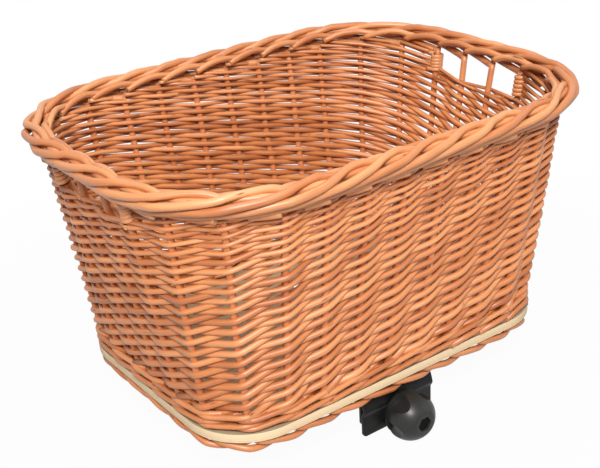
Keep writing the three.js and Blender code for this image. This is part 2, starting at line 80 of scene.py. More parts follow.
def stakeEnds(node):
    points = pointsOf(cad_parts[node].data)
    middle = (points[:, 2].min() + points[:, 2].max()) / 2
    return points[points[:, 2] < middle].mean(0), points[points[:, 2] >= middle].mean(0)


boardLow = boxOf("base_board")[0][2]
boardTop = boxOf("base_board")[1][2]
waleLow = boxOf("upsett_wale")[0][2]
weaveLow = boxOf("side_weave")[0][2]
wallTop = boxOf("side_weave")[1][2]
borderLow = boxOf("rim_border")[0][2]
footTop = boxOf("foot_border")[1][2]

# Stakes in order round the ring, counterclockwise from above
stakeNodes = sorted(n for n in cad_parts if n.startswith("stake_"))
stakeNodes.sort(key=lambda n: math.atan2(stakeEnds(n)[0][1], stakeEnds(n)[0][0]))
stakeFeet = np.array([stakeEnds(n)[0] for n in stakeNodes])
stakeHeads = np.array([stakeEnds(n)[1] for n in stakeNodes])
stakeCount = len(stakeNodes)


def ringAt(z):
    share = (z - stakeFeet[:, 2]) / (stakeHeads[:, 2] - stakeFeet[:, 2])
    return stakeFeet + (stakeHeads - stakeFeet) * np.reshape(share, (-1, 1))


def outwardOf(ring):
    along = np.roll(ring, -1, 0) - np.roll(ring, 1, 0)
    return unit(np.stack([along[:, 1], -along[:, 0], 0 * along[:, 0]], 1))


def onRing(controls, index):
    # a closed smooth curve through the controls, read at fractional places along them
    base = np.floor(index).astype(int)
    t = (index - base)[:, None]
    p0, p1, p2, p3 = (controls[(base + k) % len(controls)] for k in (-1, 0, 1, 2))
    bend = (2 * p0 - 5 * p1 + 4 * p2 - p3) * t**2 + (3 * p1 - p0 - 3 * p2 + p3) * t**3
    return p1 + ((p2 - p0) * t + bend) / 2


def throughPoints(controls, perSpan):
    ends = [2 * controls[0] - controls[1]], [2 * controls[-1] - controls[-2]]
    padded = np.vstack([ends[0], controls, ends[1]])
    return onRing(padded, np.linspace(1, len(controls), (len(controls) - 1) * perSpan + 1))


bendRoom = 0.45      # the most of a straight run that a bend may take


def bentLine(controls, reach, steps, rounded=False):
    # straight runs joined by bends at the controls; reach is a bend's length, or where rounded its radius
    controls = np.asarray(controls, float)
    t = np.linspace(0, 1, steps + 1)[:, None]
    path = [controls[0]]
    for before, corner, after in zip(controls, controls[1:], controls[2:]):
        ways = np.array([before, after]) - corner
        lengths = np.linalg.norm(ways, axis=1)
        taken = np.minimum(reach, bendRoom * lengths)
        if rounded:
            half = math.acos(np.clip(ways[0] @ ways[1] / lengths.prod(), -1, 1)) / 2
            taken = min(reach / math.tan(half), bendRoom * lengths.min())
        start, end = corner + ways * (taken / lengths)[:, None]
        path.extend((1 - t)**2 * start + 2 * t * (1 - t) * corner + t**2 * end)
    path.append(controls[-1])
    return np.array(path)


# Rods gathered into one mesh, each with a straightened copy of its points for the grain

grainRun = 20000.0   # each rod's grain begins somewhere along this length
uprightBelow = 0.1   # a rod this close to upright takes its first side from X


class RodBundle:
    def __init__(self):
        self.points = []
        self.faces = []
        self.space = []
        self.tone = []
        self.cuts = []
        self.count = 0

    def add(self, path, radius, sides=10, flat=1.0, facing=None):
        n = len(path)
        radius = np.broadcast_to(radius, n)
        tangent = unit(np.gradient(path, axis=0))
        side = np.zeros_like(path)
        guess = np.cross(tangent[0], (0, 0, 1.0))
        if np.linalg.norm(guess) < uprightBelow:
            guess = np.cross(tangent[0], (1.0, 0, 0))
        for i in range(n):
            lean = guess if facing is None else facing[i]
            guess = side[i] = unit(lean - tangent[i] * (lean @ tangent[i]))
        up = np.cross(tangent, side)
        angle = np.arange(sides) * turn / sides
        across = radius[:, None] * np.cos(angle) * flat
        upward = radius[:, None] * np.sin(angle)
        ringPoints = path[:, None] + across[..., None] * side[:, None] + upward[..., None] * up[:, None]
        along = np.concatenate([[0], np.cumsum(np.linalg.norm(np.diff(path, axis=0), axis=1))])
        along = np.broadcast_to(along[:, None] + chance.uniform(0, grainRun), across.shape)
        self.points.append(ringPoints.reshape(-1, 3))
        self.space.append(np.stack([along, across, upward], -1).reshape(-1, 3))
        self.tone.append(np.full(n * sides, chance.uniform()))
        rings = self.count + np.arange(n - 1)[:, None] * sides
        start = rings + np.arange(sides)
        beside = rings + (np.arange(sides) + 1) % sides
        quads = np.stack([start, beside, beside + sides, start + sides], -1).reshape(-1, 4)
        self.faces.extend(quads.tolist())
        self.cuts.extend([False] * len(quads))
        last = self.count + (n - 1) * sides
        self.faces.append(list(reversed(range(self.count, self.count + sides))))
        self.faces.append(list(range(last, last + sides)))
        self.cuts.extend([True, True])
        self.count += n * sides

    def build(self, name, finish, slot, nodes):
        mesh = bpy.data.meshes.new(name)
        mesh.from_pydata(np.vstack(self.points) * mm, [], self.faces)
        mesh.attributes.new("rodTone", "FLOAT", "POINT").data.foreach_set("value", np.hstack(self.tone))
        space = np.vstack(self.space) * mm
        mesh.attributes.new("rodSpace", "FLOAT_VECTOR", "POINT").data.foreach_set("vector", space.ravel())
        mesh.materials.append(finish)
        mesh.materials.append(cutWood)
        mesh.polygons.foreach_set("material_index", np.array(self.cuts, np.int32))
        mesh.polygons.foreach_set("use_smooth", ~np.array(self.cuts))
        place(name, mesh, "basket", slot, nodes)


def linked(name, data):
    made = bpy.data.objects.new(name, data)
    bpy.context.scene.collection.objects.link(made)
    return made


def place(name, mesh, body, slot, nodes=()):
    mesh.update()
    piece = linked(name, mesh)
    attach(piece, body)
    if nodes:
        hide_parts(*nodes)
    print("piece:", name, len(mesh.polygons), "faces")


# Materials

def addNode(tree, kind, inputs=None, **settings):
    made = tree.nodes.new(kind)
    for key, value in settings.items():
        setattr(made, key, value)
    for key, value in (inputs or {}).items():
        if isinstance(value, bpy.types.NodeSocket):
            tree.links.new(value, made.inputs[key])
        else:
            made.inputs[key].default_value = value
    return made


def colourRamp(tree, factor, stops):
    made = addNode(tree, "ShaderNodeValToRGB", {"Fac": factor})
    made.color_ramp.elements.remove(made.color_ramp.elements[1])
    for i, (at, colour) in enumerate(stops):
        stop = made.color_ramp.elements[0] if i == 0 else made.color_ramp.elements.new(at)
        stop.position = at
        stop.color = (*colour, 1)
    return made.outputs["Color"]


def grey(level):
    return (level, level, level)


def greyRamp(tree, factor, places, shades=(0, 1)):
    return colourRamp(tree, factor, [(at, grey(shade)) for at, shade in zip(places, shades)])


def mixColour(tree, blend, factor, *colours):
    # the node's inputs 6 and 7 and its output 2 are those for colours
    a, b = (c if isinstance(c, bpy.types.NodeSocket) else (*c, 1) for c in colours)
    mixed = addNode(tree, "ShaderNodeMix", {0: factor, 6: a, 7: b}, data_type="RGBA", blend_type=blend)
    return mixed.outputs[2]


def noise(tree, vector, scale, detail, roughness):
    stretched = addNode(tree, "ShaderNodeMapping", {"Vector": vector, "Scale": scale})
    made = addNode(tree, "ShaderNodeTexNoise", {
        "Vector": stretched.outputs["Vector"], "Scale": 1.0, "Detail": detail, "Roughness": roughness})
    return made.outputs["Fac"]


def startMaterial(name, **sockets):
    material = bpy.data.materials.new(name)
    material.use_nodes = True
    tree = material.node_tree
    shader = tree.nodes["Principled BSDF"]
    for key, value in sockets.items():
        shader.inputs[key.replace("_", " ")].default_value = value
    return material, tree, shader


def bumpFrom(tree, shader, height, strength, distance):
    bump = addNode(tree, "ShaderNodeBump", {
        "Height": height, "Strength": strength, "Distance": distance * mm})
    tree.links.new(bump.outputs["Normal"], shader.inputs["Normal"])


roughPlaces = (0.3, 0.7)     # in the noise, where a surface is smoothest and roughest


def roughFrom(tree, shader, factor, shades):
    tree.links.new(greyRamp(tree, factor, roughPlaces, shades), shader.inputs["Roughness"])


willowLook = {
    "weave": [(0.0, (0.46, 0.145, 0.044)), (0.5, (0.58, 0.205, 0.068)), (1.0, (0.70, 0.285, 0.110))],
    # the stakes' tints, a little redder than the weave's at their lightest: partly the rods' own tone,
    # partly painted shade where the stakes sit behind the weave
    "stake": [(0.0, (0.55, 0.170, 0.056)), (0.6, (0.62, 0.210, 0.074)), (1.0, (0.67, 0.250, 0.095))],
    "border": [(0.0, (0.54, 0.188, 0.063)), (0.5, (0.60, 0.225, 0.080)), (1.0, (0.72, 0.320, 0.132))],
    "foot": [(0.0, (0.54, 0.170, 0.054)), (0.6, (0.60, 0.205, 0.070)), (1.0, (0.66, 0.250, 0.094))],
    "skein": [(0.0, (0.60, 0.235, 0.086)), (1.0, (0.70, 0.310, 0.130))],
    # noise: scales per metre, along a rod and across it, then detail and roughness
    "patchNoise": ((14.0, 60.0, 60.0), 3.0, 0.55),
    "grainNoise": ((30.8, 900.0, 900.0), 5.0, 0.62),
    "knotNoise": ((46.0, 240.0, 240.0), 2.0, 0.5),
    "patches": [(0.3, (0.86, 0.78, 0.70)), (0.5, (1.0, 1.0, 1.0)), (0.72, (1.10, 1.14, 1.18))],
    "grain": [(0.32, (0.84, 0.80, 0.76)), (0.55, (1.0, 1.0, 1.0)), (0.75, (1.06, 1.06, 1.05))],
    "knotFrom": (0.70, 0.76),    # where in the noise a knot begins and is full
    "knot": (0.20, 0.062, 0.022),
    "knotRise": 0.6,             # share of the bump
    "roughness": (0.36, 0.50),
    "specular": 0.65,
    "bump": (0.35, 0.25),        # strength, then height in millimetres
}


def willowFinish(kind):
    look = willowLook
    material, tree, shader = startMaterial("willow_" + kind, Specular_IOR_Level=look["specular"])
    tone = addNode(tree, "ShaderNodeAttribute", attribute_name="rodTone").outputs["Fac"]
    space = addNode(tree, "ShaderNodeAttribute", attribute_name="rodSpace").outputs["Vector"]
    base = colourRamp(tree, tone, look[kind])
    patches = noise(tree, space, *look["patchNoise"])
    base = mixColour(tree, "MULTIPLY", 1.0, base, colourRamp(tree, patches, look["patches"]))
    grain = noise(tree, space, *look["grainNoise"])
    base = mixColour(tree, "MULTIPLY", 1.0, base, colourRamp(tree, grain, look["grain"]))
    knots = noise(tree, space, *look["knotNoise"])
    spots = greyRamp(tree, knots, look["knotFrom"])
    base = mixColour(tree, "MIX", spots, base, look["knot"])
    tree.links.new(base, shader.inputs["Base Color"])
    roughFrom(tree, shader, grain, look["roughness"])
    ridges = mixColour(tree, "ADD", look["knotRise"], grain, spots)
    bumpFrom(tree, shader, ridges, *look["bump"])
    return material


cutLook = {
    "roughness": 0.75,
    "rings": ((40, 1400, 1400), 3.0, 0.55),
    "tints": [(0.35, (0.30, 0.13, 0.05)), (0.6, (0.62, 0.36, 0.17))],
    "bump": (0.3, 0.2),
}


def cutFinish():
    # the pale end grain of a cut rod, with its pith
    material, tree, shader = startMaterial("cut_wood", Roughness=cutLook["roughness"])
    space = addNode(tree, "ShaderNodeAttribute", attribute_name="rodSpace").outputs["Vector"]
    rings = noise(tree, space, *cutLook["rings"])
    tree.links.new(colourRamp(tree, rings, cutLook["tints"]), shader.inputs["Base Color"])
    bumpFrom(tree, shader, rings, *cutLook["bump"])
    return material


plyLook = {
    # painted shade: the faces' grain colours are far darker than the edge, standing in for shade on the
    # board inside the basket
    "face": ((0.30, 0.225, 0.14), (0.39, 0.30, 0.19)),
    "pale": (0.86, 0.67, 0.43),
    "dark": (0.75, 0.55, 0.33),
    "plies": 5,
    "glue": 0.35,                # how dark the lines between layers are
    "glueWidth": 0.10,           # and their share of a layer, at each side
    "fibre": ((60, 60, 1400), 4.0, 0.55),    # noise on the edge
    "grain": ((9, 260, 260), 5.0, 0.6),      # and on the faces
    "shadedFaceFrom": (0.55, 0.8),     # how level the surface is where edge turns into face
    "roughness": 0.62,
    "specular": 0.3,
    "bump": (0.25, 0.2),
}


def plyFinish(name, low, thickness):
    # layers by height, with long grain on the faces, which are painted darker than the edge as painted
    # shade
    look = plyLook
    material, tree, shader = startMaterial(
        name, Roughness=look["roughness"], Specular_IOR_Level=look["specular"])
    surface = addNode(tree, "ShaderNodeNewGeometry").outputs
    spot = surface["Position"]
    height, tilt = (addNode(tree, "ShaderNodeSeparateXYZ", {"Vector": vector}).outputs["Z"]
                    for vector in (spot, surface["Normal"]))
    layer = addNode(tree, "ShaderNodeMapRange", {
        "Value": height, "From Min": low * mm, "From Max": (low + thickness) * mm,
        "To Max": float(look["plies"])})
    saw = addNode(tree, "ShaderNodeMath", {0: layer.outputs["Result"]}, operation="FRACT").outputs[0]
    line = look["glueWidth"]
    glue = greyRamp(tree, saw, (0, line, 1 - line, 1), (0, 1, 1, 0))
    fibre = noise(tree, spot, *look["fibre"])
    edge = mixColour(tree, "MIX", fibre, look["pale"], look["dark"])
    edge = mixColour(tree, "MULTIPLY", look["glue"], edge, glue)
    grain = noise(tree, spot, *look["grain"])
    # painted shade: the level faces take the darker face colours
    face = mixColour(tree, "MIX", grain, *look["face"])
    level = addNode(tree, "ShaderNodeMath", {0: tilt}, operation="ABSOLUTE").outputs[0]
    flat = greyRamp(tree, level, look["shadedFaceFrom"])
    tree.links.new(mixColour(tree, "MIX", flat, edge, face), shader.inputs["Base Color"])
    bumpFrom(tree, shader, mixColour(tree, "MIX", flat, fibre, grain), *look["bump"])
    return material


coatLooks = {
    # satin black coat over folded sheet, with a fine orange-peel skin and faint scuffs
    "black_coat": {
        "sockets": {"Specular_IOR_Level": 0.15},
        "cloud": (grey(90), 5.0, 0.65),
        "tints": [(0.35, (0.005, 0.005, 0.005)), (0.75, (0.012, 0.012, 0.011))],
        "roughness": (0.34, 0.50),
        "skin": (grey(1500), 2.0, 0.55),
        "bump": (0.12, 0.08),
    },
    "zinc_plate": {
        "sockets": {"Metallic": 1.0},
        "cloud": (grey(220), 4.0, 0.55),
        "tints": [(0.3, (0.42, 0.43, 0.44)), (0.7, (0.62, 0.62, 0.60))],
        "roughness": (0.26, 0.44),
        "skin": (grey(1800), 2.0, 0.55),
        "bump": (0.1, 0.05),
    },
    # moulded dark grey plastic with a fine spark-eroded skin
    "knob_plastic": {
        "sockets": {"Specular_IOR_Level": 0.35},
        "turns": True,
        "cloud": (grey(70), 4.0, 0.55),
        "tints": [(0.3, (0.014, 0.014, 0.013)), (0.7, (0.021, 0.021, 0.019))],
        "roughness": (0.36, 0.46),
        "skin": (grey(2200), 2.0, 0.55),
        "bump": (0.15, 0.06),
    },
    # painted shade: a dull black that stands in for the shade deep in the knob's hex recess, with no skin
    # of its own
    "recess_shade_black": {
        "sockets": {"Specular_IOR_Level": 0.1, "Roughness": 0.8},
        "turns": True,
        "cloud": (grey(160), 4.0, 0.55),
        "tints": [(0.3, (0.002, 0.002, 0.002)), (0.7, (0.005, 0.005, 0.005))],
        "bump": (0.2, 0.1),
    },
}


def coatFinish(name):
    look = coatLooks[name]
    material, tree, shader = startMaterial(name, **look["sockets"])
    # what turns has its grain in its own space
    if "turns" in look:
        spot = addNode(tree, "ShaderNodeTexCoord").outputs["Object"]
    else:
        spot = addNode(tree, "ShaderNodeNewGeometry").outputs["Position"]
    cloud = noise(tree, spot, *look["cloud"])
    tree.links.new(colourRamp(tree, cloud, look["tints"]), shader.inputs["Base Color"])
    if "roughness" in look:
        roughFrom(tree, shader, cloud, look["roughness"])
    skin = noise(tree, spot, *look["skin"]) if "skin" in look else cloud
    bumpFrom(tree, shader, skin, *look["bump"])
    return material


cutWood = cutFinish()
blackCoat = coatFinish("black_coat")
zincPlate = coatFinish("zinc_plate")
knobPlastic = coatFinish("knob_plastic")
knobRecessShade = coatFinish("recess_shade_black")
weaveFinish = willowFinish("weave")
print("materials: shared finishes ready")


# Stakes: thirty-two rods from the board up into the border

stakeRods = {
    "foot": 6.5, "head": 5.9, "bow": 0.5,
    "intoBorder": 2.0, "intoFoot": 1.0,
    "spans": 6, "perSpan": 5, "sides": 12,
}


def makeStakes():
    bundle = RodBundle()
    for foot, head in zip(stakeFeet, stakeHeads):
        axis = (head - foot) / (head[2] - foot[2])
        low = foot + axis * (footTop - stakeRods["intoFoot"] - foot[2])
        high = foot + axis * (wallTop + stakeRods["intoBorder"] - foot[2])
        share = np.linspace(0, 1, stakeRods["spans"] + 1)[:, None]
        controls = low + (high - low) * share
        controls[1:-1] += chance.normal(0, stakeRods["bow"], (stakeRods["spans"] - 1, 3)) * (1, 1, 0)
        path = throughPoints(controls, stakeRods["perSpan"])
        radius = np.linspace(stakeRods["foot"], stakeRods["head"], len(path)) / 2
        bundle.add(path, radius, stakeRods["sides"])
    bundle.build("stakes", willowFinish("stake"), "willow_stake", stakeNodes)


makeStakes()


# Wale above the board: rods in threes, each outside two stakes and inside the next

wale = {
    "rod": 4.9, "rodsInTurn": 3, "climb": 4.0,
    "lifts": (0.0, 1.0, 0.5),    # share of the climb at the three stakes of a rod's step
    "outside": (7.0, 5.8),       # reach beyond the stakes, for each round from the board up
    "inside": -5.2,
    "firstStake": 9, "roundShift": 13,
    "overlap": 2,                # stakes that a rod passes twice
    "taper": (1.06, 0.9),
    "wander": 0.25,
    "bend": 9.0, "bendSteps": 5,
}


def makeWale():
    bundle = RodBundle()
    roundHeight = (weaveLow - waleLow) / len(wale["outside"])
    for level, outside in enumerate(wale["outside"]):
        low = waleLow + level * roundHeight
        for rod in range(wale["rodsInTurn"]):
            first = wale["firstStake"] + rod + level * wale["roundShift"]
            places = np.arange(first, first + stakeCount + wale["overlap"])
            turnOf = (places - rod) % wale["rodsInTurn"]
            lift = np.choose(turnOf, wale["lifts"]) * wale["climb"]
            swing = np.choose(turnOf, (outside, outside, wale["inside"]))
            swing = swing + chance.normal(0, wale["wander"], len(places))
            height = low + wale["rod"] / 2 + lift + chance.normal(0, wale["wander"], len(places))
            controls = []
            for index, z, reach in zip(places % stakeCount, height, swing):
                ring = ringAt(z)
                controls.append(ring[index] + outwardOf(ring)[index] * reach)
            path = bentLine(controls, wale["bend"], wale["bendSteps"])
            bundle.add(path, wale["rod"] / 2 * np.linspace(*wale["taper"], len(path)))
    bundle.build("wale", weaveFinish, "willow_weave", ["upsett_wale"])


makeWale()


# Randing: rods outside one stake and inside the next, that climb from the wale to the border

randing = {
    "pitchLow": 5.6,              # height of the lowest row
    "pitchFall": (1.05, 1.95),    # what a row loses with height and with its cube, by the border
    "pitchLeast": 3.3,
    "climb": 2,                   # rows that a rod climbs from one stake to the next
    "rowsBelow": 2,               # rows hidden behind the wale
    "overTop": 5.0,               # last rows, hidden in the border
    "fullness": 1.08,             # a rod's thickness against its row's height
    "swing": 4.5,                 # reach of the bends to either side of the stakes
    "insideLift": 1.5,            # how much higher a rod passes inside a stake than outside
    "bend": 6.0, "bendSteps": 4,
    "bindingRows": 2,             # level rows under a hand opening
    "wander": 0.32,
    "spread": (0.88, 1.08),       # thinnest and thickest rod
}
handOpening = {
    "height": 24.0,
    "posts": (38.0, 64.0),        # the wound posts stand between these distances from the middle
    "endFrom": 200.0,             # and further out than this along the basket
}
openingLow = wallTop - handOpening["height"]


def openingSpans():
    # runs of stakes between the hand openings, posts included at both ends
    near, far = handOpening["posts"]
    posts = {}
    for index, (x, y, z) in enumerate(stakeHeads):
        if near < abs(y) < far and abs(x) > handOpening["endFrom"]:
            posts["right" if x > 0 else "left", "back" if y > 0 else "front"] = index
    backRun = posts["right", "back"], posts["left", "back"]
    frontRun = posts["left", "front"], posts["right", "front"]
    runs = []
    for first, last in (backRun, frontRun):
        runs.append(np.arange(first, first + (last - first) % stakeCount + 1))
    return runs


def rowHeights():
    # middle and height of each row, closer together towards the border
    low = randing["pitchLow"]
    rows = [(weaveLow + (n - randing["rowsBelow"] + 0.5) * low, low) for n in range(randing["rowsBelow"])]
    z = weaveLow
    while z < wallTop + randing["overTop"]:
        share = (z - weaveLow) / (wallTop - weaveLow)
        fall, cubeFall = randing["pitchFall"]
        pitch = max(randing["pitchLeast"], low - fall * share - cubeFall * share**3)
        rows.append((z + pitch / 2, pitch))
        z += pitch
    return np.array(rows).T


def rodLine(places, rows, heights, posts):
    # one rod over and under the stakes, run into the wound posts beside a hand opening
    controls = []
    for place, row in zip(places, rows):
        outside = 1.0 if (place + row) % 2 == 0 else -1.0
        index = place % stakeCount
        if index in posts and heights[row] > openingLow:
            outside = 0.0
        z = heights[row] + randing["insideLift"] * (1 - outside) / 2
        ring = ringAt(z + chance.normal(0, randing["wander"]))
        reach = outside * randing["swing"] + chance.normal(0, randing["wander"])
        controls.append(ring[index] + outwardOf(ring)[index] * reach)
    return bentLine(controls, randing["bend"], randing["bendSteps"])


def makeRanding():
    bundle = RodBundle()
    heights, pitches = rowHeights()
    runs = openingSpans()
    posts = {run[i] % stakeCount for run in runs for i in (0, -1)}
    closed = np.concatenate(runs) % stakeCount
    pieces = []
    for stake in range(stakeCount):
        for lowest in range(randing["climb"]):
            rows = np.arange(lowest, len(heights), randing["climb"])
            places = stake + np.arange(len(rows))
            held = (heights[rows] <= openingLow) | np.isin(places % stakeCount, closed)
            cuts = np.flatnonzero(np.diff(held)) + 1
            for part in np.split(np.arange(len(rows)), cuts):
                if held[part[0]] and len(part) > 1:
                    pieces.append((places[part], rows[part]))
    last = np.flatnonzero(heights <= openingLow)[-1]
    for run, after in zip(runs, runs[1:] + runs[:1]):
        places = run[-1] + np.arange((after[0] - run[-1]) % stakeCount + 1)
        for row in range(last - randing["bindingRows"] + 1, last + 1):
            pieces.append((places, np.full(len(places), row)))
    for places, rows in pieces:
        path = rodLine(places, rows, heights, posts)
        thick = np.interp(path[:, 2], heights, pitches) * randing["fullness"]
        thick = thick * chance.uniform(*randing["spread"])
        bundle.add(path, thick / 2)
    print("randing:", len(pieces), "rods in", len(heights), "rows")
    bundle.build("randing", weaveFinish, "willow_weave", ["side_weave"])


makeRanding()


# Rim border: every stake's end runs round the outside, over the top and down inside

rimBorder = {
    "rod": 6.9, "tip": 5.8, "sides": 12,
    "rodSpread": (0.96, 1.03), "stubSpread": (0.9, 1.1),
    # stake spaces from the rod's own stake, then outward and up from the border's low side
    "track": [(0.0, 0.0, -1.5), (0.25, 3.4, -1.0), (0.6, 6.6, 0.2), (1.0, 9.2, 2.2), (1.4, 11.6, 4.4),
              (1.8, 13.8, 6.8), (2.2, 15.5, 9.4), (2.6, 15.2, 12.0), (2.9, 13.0, 14.0), (3.15, 9.8, 15.8),
              (3.4, 7.0, 16.6), (3.65, 5.2, 16.6), (3.85, 4.8, 15.4), (4.1, 5.6, 12.8), (4.35, 7.4, 11.8),
              (4.65, 8.6, 12.0), (4.9, 8.0, 11.0), (5.15, 5.6, 9.0), (5.45, 2.0, 8.4), (5.75, -0.6, 10.0),
              (6.1, -2.0, 12.2), (6.5, -2.8, 11.0), (6.9, -2.6, 6.0)],
    "stub": 5.6,               # cut ends that look out under the border, not over the hand openings
    "stubTrack": [(-0.6, 1.0, -5.0), (-0.35, 4.6, -4.0), (-0.1, 8.4, -2.4)],
    "wander": 0.2,
    "chord": 0.5,              # how straight a rod runs from stake to stake
    "perSpan": 4,
}


def alongStakes(ring, index, chord):
    # places round a ring of stakes, between a smooth curve and straight chords
    base = np.floor(index).astype(int)
    share = (index - base)[:, None]
    straight = ring[base % len(ring)] * (1 - share) + ring[(base + 1) % len(ring)] * share
    return onRing(ring, index) * (1 - chord) + straight * chord


def borderPath(ring, stake, track, border, level):
    # a rod's way round the ring from its own stake, a little off the track
    track = np.array(track)
    wandered = track + chance.normal(0, border["wander"], track.shape) * (0, 1, 1)
    section = throughPoints(wandered, border["perSpan"])
    index = stake + section[:, 0]
    aside = unit(onRing(outwardOf(ring), index))
    path = alongStakes(ring, index, border["chord"]) + aside * section[:, 1:2]
    path[:, 2] = level + section[:, 2]
    return path


def makeRimBorder():
    bundle = RodBundle()
    closed = set(np.concatenate([run[1:] for run in openingSpans()]) % stakeCount)
    for stake in range(stakeCount):
        path = borderPath(stakeHeads, stake, rimBorder["track"], rimBorder, borderLow)
        thick = rimBorder["rod"] * chance.uniform(*rimBorder["rodSpread"])
        bundle.add(path, np.linspace(thick, rimBorder["tip"], len(path)) / 2, rimBorder["sides"])
        if stake in closed:
            stub = borderPath(stakeHeads, stake, rimBorder["stubTrack"], rimBorder, borderLow)
            thick = rimBorder["stub"] * chance.uniform(*rimBorder["stubSpread"])
            bundle.add(stub, thick / 2, rimBorder["sides"])
    bundle.build("rim_plait", willowFinish("border"), "willow_border", ["rim_border"])


makeRimBorder()


# Foot border: the stakes' lower ends, twisted into a rope under the board

footBorder = {
    "rod": 6.6, "tip": 5.2, "sides": 12,
    # stake spaces from the rod's own stake, then outward and up from under the board
    "track": [(0.0, 0.0, 3.0), (0.12, 2.0, -1.0), (0.3, 4.6, -3.2), (0.6, 5.4, -5.0), (0.95, 4.6, -7.6),
              (1.25, 2.0, -9.8), (1.6, -2.0, -9.6), (2.0, -4.4, -6.4), (2.3, -4.6, -3.6)],
    "wander": 0.2,
    "chord": 0.4,
    "perSpan": 6,
}


def makeFootBorder():
    bundle = RodBundle()
    feet = ringAt(boardLow)
    for stake in range(stakeCount):
        path = borderPath(feet, stake, footBorder["track"], footBorder, footTop)
        radius = np.linspace(footBorder["rod"], footBorder["tip"], len(path)) / 2
        bundle.add(path, radius, footBorder["sides"])
    bundle.build("foot_plait", willowFinish("foot"), "willow_border", ["foot_border"])


makeFootBorder()


# Skeins wound on the stakes beside the hand openings

skein = {
    "turns": 5.0, "radius": 5.2, "width": 3.9, "flat": 0.62,
    "lead": 8.0, "leadSteps": 3,         # straight ends that run into the weave
    "stepsPerTurn": 22, "sides": 10,
}


def makeSkeins():
    bundle = RodBundle()
    nodes = sorted(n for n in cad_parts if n.startswith("handle_winding_"))
    for node in nodes:
        low, high = boxOf(node)
        middle = (low + high) / 2
        nearest = np.linalg.norm(ringAt(middle[2])[:, :2] - middle[:2], axis=1).argmin()
        up = unit(stakeHeads[nearest] - stakeFeet[nearest])
        outward = np.array([0, math.copysign(1, middle[1]), 0])
        outward = unit(outward - up * (outward @ up))
        across = np.cross(outward, up)
        centre = ringAt((openingLow + wallTop) / 2)[nearest]
        steps = int(skein["turns"] * skein["stepsPerTurn"])
        angle = math.pi + np.linspace(0, skein["turns"] * turn, steps)
        rise = (np.linspace(-0.5, 0.5, len(angle)) * (high[2] - low[2] - skein["width"]))[:, None]
        radial = np.cos(angle)[:, None] * across + np.sin(angle)[:, None] * outward
        path = centre + rise * up + radial * skein["radius"]
        lead = np.linspace(1, 0, skein["leadSteps"] + 1)[:-1, None] * skein["lead"]
        path = np.vstack([path[0] + lead * outward, path, path[-1] + lead[::-1] * outward])
        radial = np.pad(radial, ((skein["leadSteps"], skein["leadSteps"]), (0, 0)), "edge")
        bundle.add(path, skein["width"] / 2, skein["sides"], skein["flat"], radial)
    bundle.build("skeins", willowFinish("skein"), "willow_skein", nodes)


makeSkeins()


# Meshes made of plain outlines

smoothBelow = 35     # degrees between faces that still shade as one
softenAbove = 40     # degrees from which an edge is softened


def smoothed(mesh, angle=smoothBelow):
    mesh.polygons.foreach_set("use_smooth", [True] * len(mesh.polygons))
    mesh.set_sharp_from_angle(angle=math.radians(angle))
    return mesh


def meshFrom(name, points, faces, finish):
    mesh = bpy.data.meshes.new(name)
    mesh.from_pydata(points * mm, [], faces)
    mesh.materials.append(finish)
    return smoothed(mesh)


def applied(name, mesh, cutters, bevel, segments=2, smoothAngle=smoothBelow):
    # the mesh with its cutters taken out and its edges softened
    work = linked(name + "_work", mesh)
    tools = []
    for cutter in cutters:
        tool = linked("cutter", cutter)
        tools.append(tool)
        carve = work.modifiers.new("carve", "BOOLEAN")
        carve.operation = "DIFFERENCE"
        carve.solver = "EXACT"
        carve.object = tool
    soften = work.modifiers.new("soften", "BEVEL")
    soften.width = bevel * mm
    soften.segments = segments
    soften.limit_method = "ANGLE"
    soften.angle_limit = math.radians(softenAbove)
    bpy.context.view_layer.update()
    shaped = work.evaluated_get(bpy.context.evaluated_depsgraph_get())
    result = bpy.data.meshes.new_from_object(shaped)
    result.name = name
    for gone in [work, *tools]:
        bpy.data.objects.remove(gone)
    return smoothed(result, smoothAngle)


def prismPoints(outline, low, high):
    # an upright prism over a flat outline
    n = len(outline)
    points = np.vstack([np.column_stack([outline, np.full(n, z)]) for z in (low, high)])
    faces = [list(reversed(range(n))), list(range(n, 2 * n))]
    for i in range(n):
        j = (i + 1) % n
        faces.append([i, j, j + n, i + n])
    return points, faces


def prism(name, outline, low, high, finish, turned=None):
    # turned, where given, lays the upright points along another axis
    points, faces = prismPoints(outline, low, high)
    return meshFrom(name, turned(points) if turned else points, faces, finish)


def lathePoints(profile, sides):
    # a closed body turned about Z; the profile runs from axis to axis as (radius, height)
    points = [(0, 0, profile[0][1])]
    for radius, height in profile[1:-1]:
        points.extend((x, y, height) for x, y in circle(radius, sides))
    points.append((0, 0, profile[-1][1]))
    top = len(points) - 1
    lastRing = top - sides
    faces = []
    for j in range(sides):
        k = (j + 1) % sides
        faces.append([0, 1 + k, 1 + j])
        for ring in range(1, lastRing, sides):
            faces.append([ring + j, ring + k, ring + sides + k, ring + sides + j])
        faces.append([lastRing + j, lastRing + k, top])
    return np.array(points), faces


def circle(radius, sides):
    angle = np.arange(sides) * turn / sides
    return radius * np.column_stack([np.cos(angle), np.sin(angle)])


def roundedRectangle(halfLength, halfWidth, radius, steps):
    points = []
    for corner, (sx, sy) in enumerate(((1, 1), (-1, 1), (-1, -1), (1, -1))):
        angle = (corner + np.linspace(0, 1, steps + 1)) * math.pi / 2
        points.append(np.column_stack([sx * (halfLength - radius) + radius * np.cos(angle),
                                       sy * (halfWidth - radius) + radius * np.sin(angle)]))
    return np.vstack(points)


# Board: plywood with its stake holes, and the two packing blocks under it

board = {"corner": 58.0, "cornerSteps": 24, "edge": 0.8, "stakeHole": 7.2, "boltHole": 6.8}
holeSides = 24
cutPast = 4.0        # how far a cutter runs out of what it cuts
mountBolts = sorted(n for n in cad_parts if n.startswith("mount_bolt_"))


